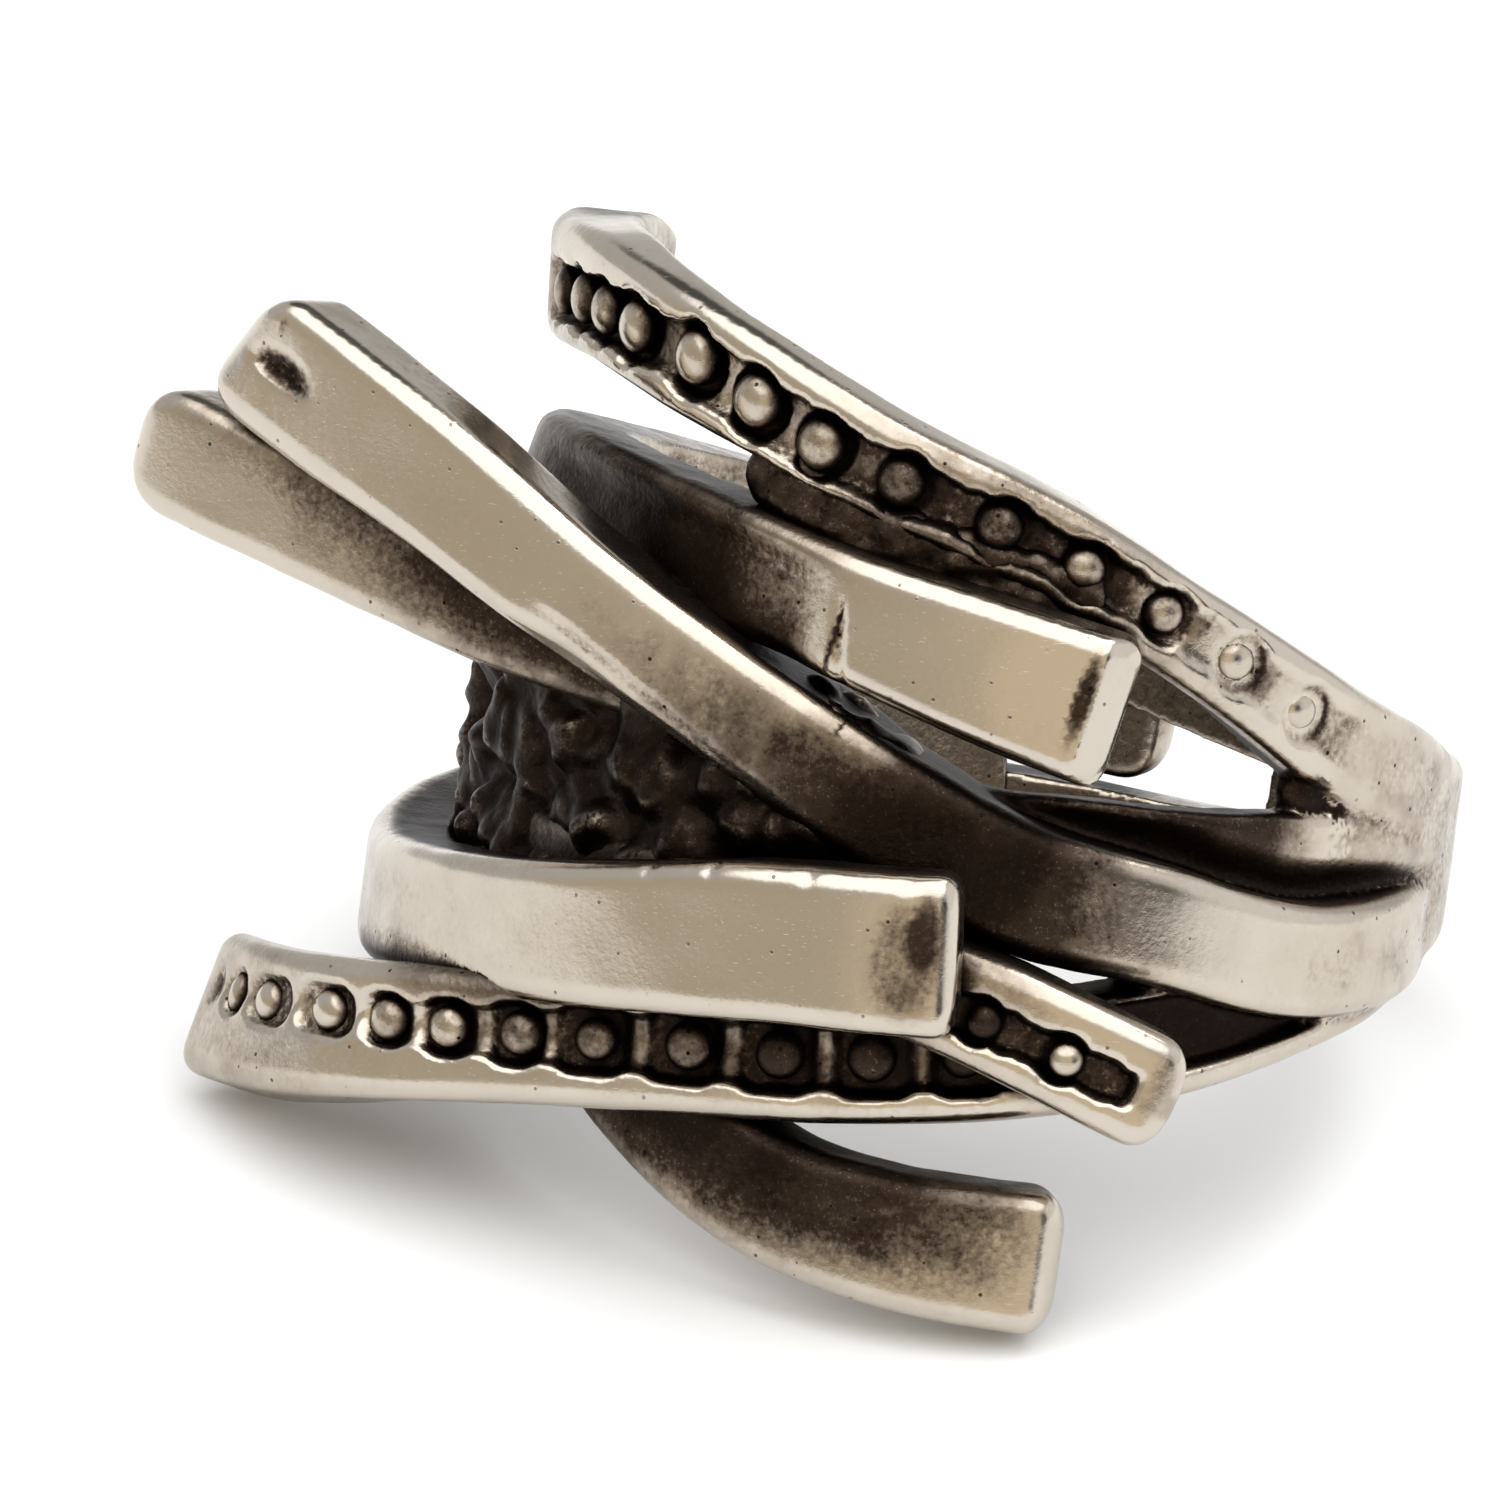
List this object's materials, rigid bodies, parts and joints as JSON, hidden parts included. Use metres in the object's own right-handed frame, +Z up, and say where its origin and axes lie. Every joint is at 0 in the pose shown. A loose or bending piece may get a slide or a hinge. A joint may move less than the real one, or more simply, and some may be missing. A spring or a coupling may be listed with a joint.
{
  "type": "brass ring",
  "caption": "Cast finger ring whose narrow shank splits into crossing, overlapping bars with free ends and rows of small beads over the crown.",
  "frame": {"origin": "middle of the finger bore, on its axis and halfway up the round inner wall", "axes": "+Z up as the ring lies on its side at rest, +X from the crown toward the middle of the shank, +Y toward the back; the bore axis leans 19 degrees from +Z toward +Y and 5 degrees toward +X"},
  "size_m": [0.0307, 0.0267, 0.0204],
  "materials": {
    "ring_metal": "cast, silver plated, hand polished on the raised faces, dark oxidised in the recesses"
  },
  "bodies": {
    "root": {"ring": "ring_metal"}
  },
  "joints": []
}
